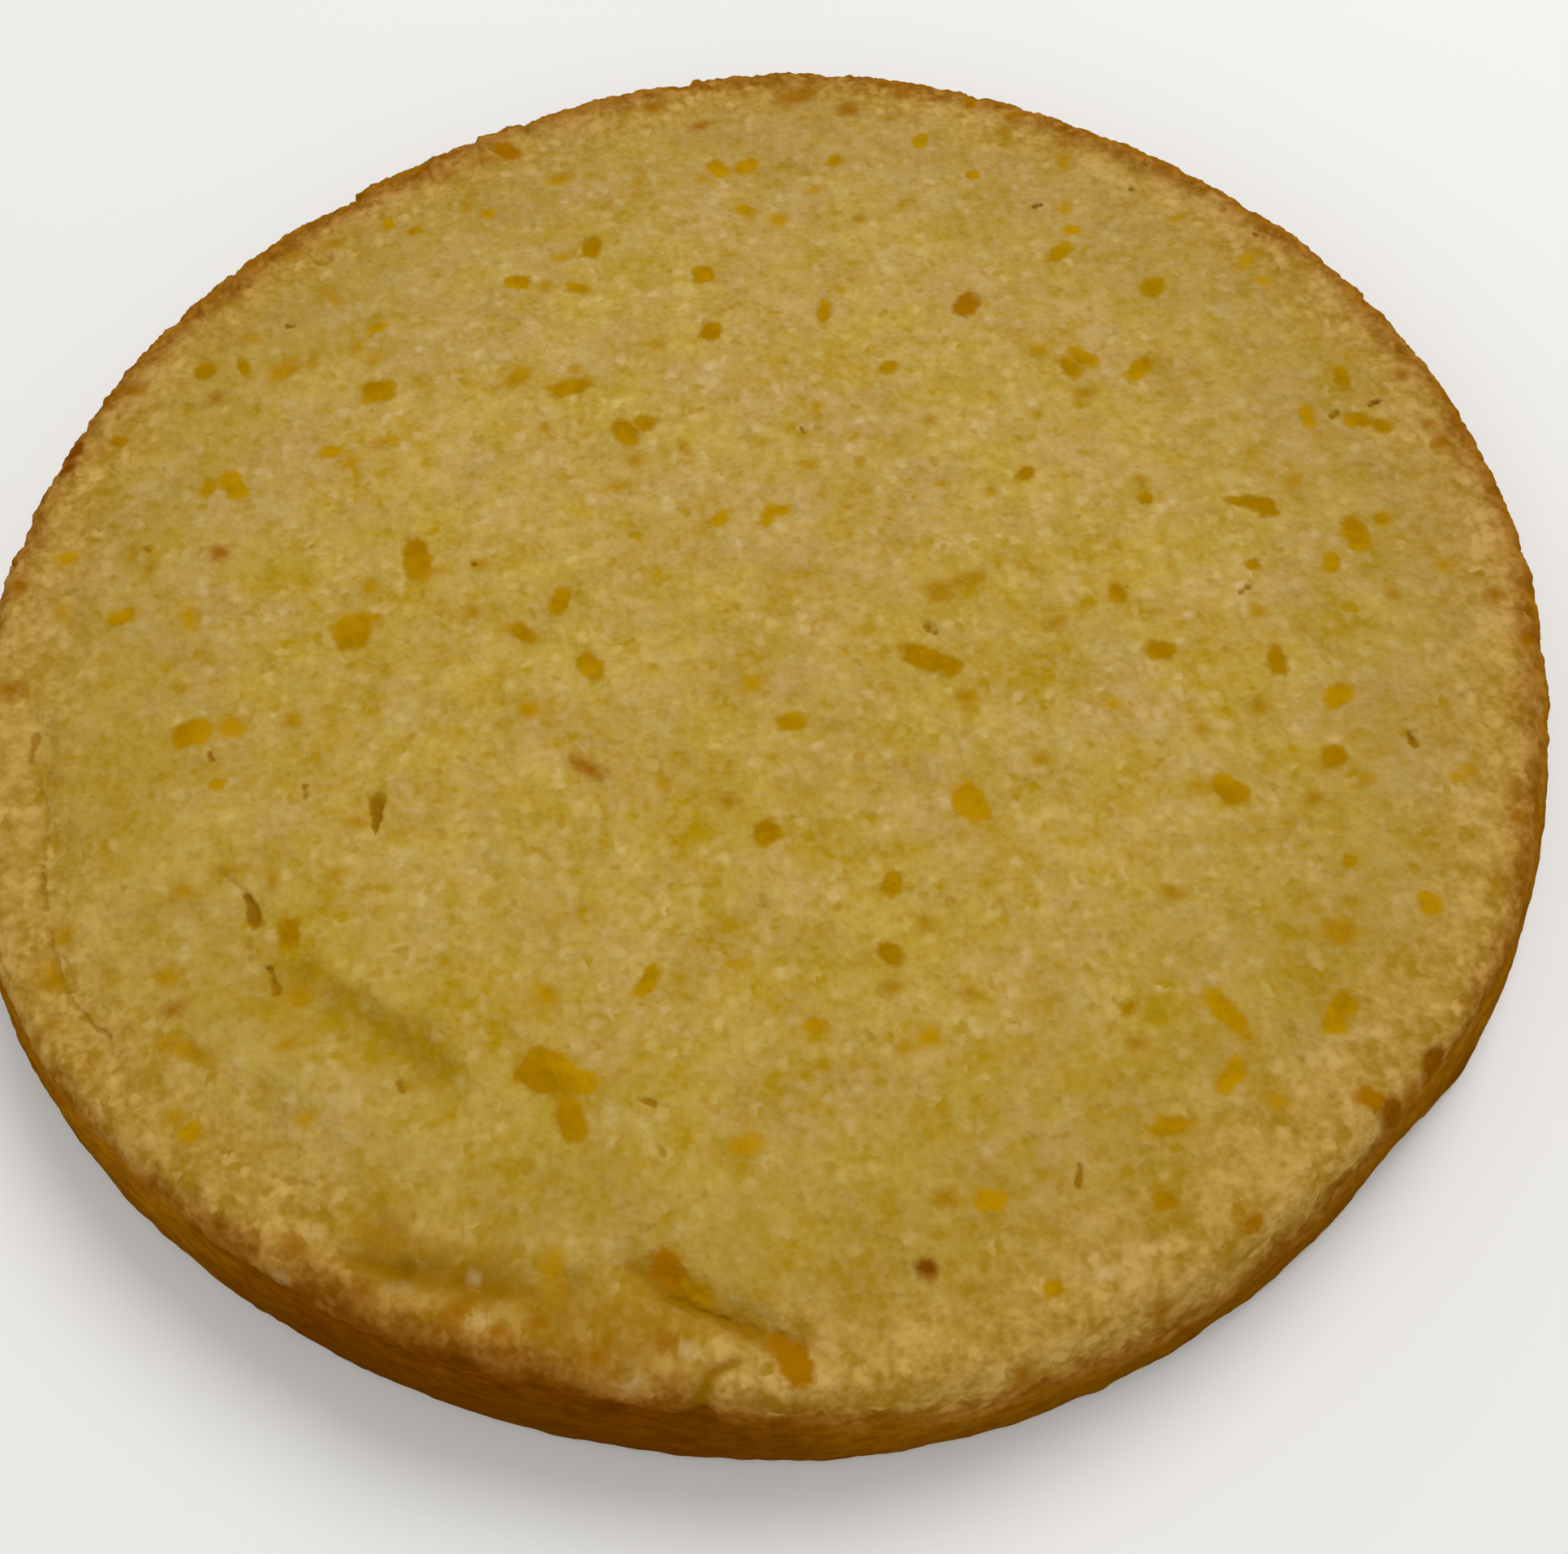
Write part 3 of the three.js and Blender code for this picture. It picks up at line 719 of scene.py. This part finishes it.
# How the crumb changes across the cake, for each millimetre to the right or to the back; the paler back is
# painted light
TANNED_TO_RIGHT = 0.0015
TANNED_TO_BACK = 0.0018
PAINTED_LIGHT_TO_BACK = 0.0005

# Where the crust changes, as runs from the edge of the flat top
SHADED_RUN = (-45, -6)
WARM_RUN = (-16, 4)
# Where the foot darkens with browner crust and painted contact shadow, and where that fades under the cake
FOOT_SHADOW_RUN = (8, 22)
FOOT_SHADOW_FADE_RUN = (40, 24)
# Where it changes, as runs from where the browning starts
BROWN_RUN = (-3, 2)
DARK_RUN = (0.5, 6)

# The noise, moisture and painted fold shade, or depth at which a change starts, and at which it is complete
GRAIN_EDGE = (0.65, 0.1)
SPECK_RANGE = (0.14, 0.26)
AMBER_RANGE = (-0.2, 0.2)
DARK_BAKE_RANGE = (0.2, 0.8)
MOIST_AND_SHADE_RANGE = (0.05, 1.2)
TORN_RANGE = (0.02, 0.4)
DEEP_TEAR_RANGE = (0.3, 0.65)
# How much of a change shows where it is complete
SPECK_SHARE = 0.5
SHADED_SHARE = 0.28
WARM_SHARE = 0.8
FOOT_SHADOW_SHARE = 0.55
TORN_SHARE = 0.9
DEEP_TEAR_SHARE = 0.35


def cake_finish():
    """Golden crumb with amber flecks, browned over the rim and down the side."""
    material = bpy.data.materials.new("cassava_crumb")
    material.use_nodes = True
    tree = material.node_tree
    shader = tree.nodes["Principled BSDF"]
    start = Wire(tree)
    place = start.node("TexCoord", {}, {}, "Object")
    place = place.node("VectorMath", {"operation": "SCALE"}, {0: place, "Scale": 1 / MM})

    def read(name, output="Fac"):
        return start.node("Attribute", {"attribute_name": name}, {}, output)

    fine = place.clouds(*FINE)
    edge = place.clouds(*EDGE)
    mottle = place.clouds(*MOTTLE)
    uneven = place.clouds(*UNEVEN)
    hue = place.clouds(*HUE)
    wander = place.clouds(*WANDER) * WANDER_REACH
    run = read("rim_run")
    moist_and_shade = read("moist_and_shade")

    # Grains of the crumb, each of its own paleness
    stray = start.node("CombineXYZ", {}, {0: mottle * 2, 1: edge * 2, 2: fine})
    jumbled = start.node("VectorMath", {"operation": "ADD"}, {0: place, 1: stray})
    grain = start.node("TexVoronoi", {}, {"Vector": jumbled, "Scale": 1 / GRAIN_SIZE}, "Distance")
    grains = grain.between(*GRAIN_EDGE) * (grain.twin("Color").part(0) - 0.35)

    # The crumb, from moist and golden to dry and pale, a little darker towards the rim, darker along the
    # folds with moisture and painted crease shade, and paler on the lips with painted light
    pale = uneven * 0.9 + mottle * 0.45 + fine * 0.3 + grains * 0.5
    # Paler towards the back: painted light
    pale = pale - moist_and_shade * 0.35 + place.part(1) * PAINTED_LIGHT_TO_BACK + 0.26
    golden = pale.blend(*GOLDEN_CRUMB)
    tanned = pale.blend(*TANNED_CRUMB)
    tilt = place.part(0) * TANNED_TO_RIGHT + place.part(1) * TANNED_TO_BACK
    crumb = (hue * 2.6 + tilt + 0.5).between(0, 1).blend(golden, tanned)
    # Brightness that wanders over a few millimetres: painted light and shade of low relief
    crumb = start.node("VectorMath", {"operation": "SCALE"}, {0: crumb, "Scale": wander * 0.04 + 1})
    specks = place.clouds(*SPECKLE).between(*SPECK_RANGE)
    crumb = (specks * SPECK_SHARE).blend(crumb, SPECK)
    shaded = (run + wander * 2).between(*SHADED_RUN) * SHADED_SHARE
    crumb = shaded.blend(crumb, SHADED_CRUMB)
    light = (uneven * 1.4 + mottle + fine * 0.7 + grains + 0.44).between(0, 1)

    # The flecks, with ragged edges
    across = read("across_fleck", "Vector")
    long_share = start.sum("ABSOLUTE", across.part(0), 0)
    wide_share = start.sum("ABSOLUTE", across.part(1), 0)
    corners = start.sum("POWER", long_share, FLECK_CORNERS) + start.sum("POWER", wide_share, FLECK_CORNERS)
    true_depth = (1 - start.sum("POWER", corners, 1 / FLECK_CORNERS)) * across.part(2)
    clear = read("fleck_clear")
    depth = true_depth * clear + read("fleck_depth") * (1 - clear) + edge * 1.7 + 0.2
    strength = read("fleck_strength")
    toast = read("fleck_toast")
    soft = (1 - strength) * (toast + 1.3).between(0, 1.3)
    inside = depth.between(-0.5 - soft * 2.2, 0.5 + soft * 3) * (strength + hue * 0.5).between(0, 0.9)
    amber = (hue * 1.5 + edge * 0.4).between(*AMBER_RANGE).blend(*AMBER_FLECK)
    amber = toast.between(0, 0.5).blend(amber, ORANGE_FLECK)
    amber = toast.between(0.45, 1).blend(amber, BURNT_FLECK)
    # Pale crumbs and painted glints
    amber = (0 - toast).between(0, 0.5).blend(amber, PALE_CRUMB_AND_GLINT)

    # The browning over the rim
    browned = read("browned") + wander
    warm = (run + wander).between(*WARM_RUN) * WARM_SHARE
    crust = warm.blend(crumb, light.blend(*WARM_CRUST))
    crust = browned.between(*BROWN_RUN).blend(crust, light.blend(*TOASTED_CRUST))
    # Moist amber along the folds, partly painted shade in the creases
    crust = (moist_and_shade + mottle * 0.6 + edge * 0.4).between(*MOIST_AND_SHADE_RANGE).blend(crust, MOIST_AND_CREASE_SHADE)
    crust = inside.blend(crust, amber)

    # The streaked side, darkest at its foot, partly browner crust and partly painted contact shadow
    stretched = start.node("CombineXYZ", {}, {0: place.part(0) * 0.4, 1: place.part(1) * 0.4, 2: run})
    streak = (stretched.clouds(*STREAKS) * 1.2 + mottle * 0.8 + fine * 0.4 + 0.5).between(0, 1)
    dark_bake = (read("dark_bake") + wander * 0.04).between(*DARK_BAKE_RANGE)
    side = dark_bake.blend(streak.blend(*BROWN_SIDE), streak.blend(*DARK_SIDE))
    # Darker towards the foot: browner crust and painted contact shadow
    foot_bake_and_shadow = (run + wander * 0.4).between(*FOOT_SHADOW_RUN) * (run + wander).between(*FOOT_SHADOW_FADE_RUN)
    side = (foot_bake_and_shadow * FOOT_SHADOW_SHARE).blend(side, FOOT_CRUST_AND_SHADOW)
    dark = browned.between(*DARK_RUN)
    crust = dark.blend(crust, side)

    # Torn places are moister and darker
    tear = read("tear") + edge * 0.15
    base = (tear.between(*TORN_RANGE) * TORN_SHARE).blend(crust, TORN_CRUMB)
    base = (tear.between(*DEEP_TEAR_RANGE) * DEEP_TEAR_SHARE).blend(base, DEEP_TEAR)

    # Low relief of the crumb, less along the moist folds with their painted shade
    relief = (mottle * 0.7 + fine * 0.15) * (1 - moist_and_shade.between(0, 0.8) * 0.6)
    bump = start.node("Bump", {}, {"Strength": 1, "Distance": MM, "Height": relief})
    rough = 0.7 - inside * 0.15 - dark * 0.15 + fine * 0.2
    for name, wire in (("Base Color", base), ("Roughness", rough), ("Normal", bump)):
        tree.links.new(wire.socket, shader.inputs[name])
    shader.inputs["Specular IOR Level"].default_value = 0
    return material


# The camera that the photo's outline fits
CAMERA_AT = (-12.95, -117.2, 203.4)
CAMERA_YAW = 7.75
CAMERA_PITCH = 64.38
CAMERA_ROLL = -4.02
IMAGE_WIDTH = 1932
FOCAL_PIXELS = 1870
SENSOR_WIDTH = 36
NEAREST_SEEN = 0.01


def place_camera():
    data = bpy.data.cameras.new("photo_camera")
    data.sensor_width = SENSOR_WIDTH
    data.lens = FOCAL_PIXELS / IMAGE_WIDTH * SENSOR_WIDTH
    data.clip_start = NEAREST_SEEN
    camera = bpy.data.objects.new("photo_camera", data)
    bpy.context.scene.collection.objects.link(camera)
    turn = (
        Matrix.Rotation(math.radians(-CAMERA_YAW), 4, "Z")
        @ Matrix.Rotation(math.radians(90 - CAMERA_PITCH), 4, "X")
        @ Matrix.Rotation(math.radians(CAMERA_ROLL), 4, "Z")
    )
    camera.matrix_world = Matrix.Translation(Vector(CAMERA_AT) * MM) @ turn
    bpy.context.scene.camera = camera


# A broad light high behind on the right and a weak one low in front, as (name, place, size, power) in metres
LIGHTS = [
    ("back_light", (0.9, 1.26, 1.8), 1.2, 32.5),
    ("front_light", (-0.6, -1, 0.55), 0.8, 2.9),
]
SKY_COLOUR = (1, 1, 1, 1)
SKY_STRENGTH = 0.58
FLOOR_SIZE = 6
FLOOR_COLOUR = (0.8, 0.79, 0.76, 1)
FLOOR_ROUGHNESS = 0.7


def soft_light(name, at, size, power):
    """A round light that shines on the cake."""
    data = bpy.data.lights.new(name, "AREA")
    data.shape = "DISK"
    data.size = size
    data.energy = power
    lamp = bpy.data.objects.new(name, data)
    bpy.context.scene.collection.objects.link(lamp)
    lamp.location = at
    lamp.rotation_euler = (-Vector(at)).to_track_quat("-Z", "Y").to_euler()


def light_stage():
    bpy.ops.object.select_all(action="DESELECT")
    bpy.ops.mesh.primitive_plane_add(size=FLOOR_SIZE)
    floor = bpy.context.object
    floor.name = "floor"
    paint = bpy.data.materials.new("floor_paint")
    paint.use_nodes = True
    shader = paint.node_tree.nodes["Principled BSDF"]
    shader.inputs["Base Color"].default_value = FLOOR_COLOUR
    shader.inputs["Roughness"].default_value = FLOOR_ROUGHNESS
    floor.data.materials.append(paint)
    for light in LIGHTS:
        soft_light(*light)
    world = bpy.data.worlds.new("studio")
    world.use_nodes = True
    sky = world.node_tree.nodes["Background"]
    sky.inputs["Color"].default_value = SKY_COLOUR
    sky.inputs["Strength"].default_value = SKY_STRENGTH
    bpy.context.scene.world = world
    bpy.context.scene.view_settings.view_transform = "Standard"


cake = shape_cake()
cake.data.materials.append(cake_finish())
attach(cake, "root")
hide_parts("cake")
place_camera()
light_stage()
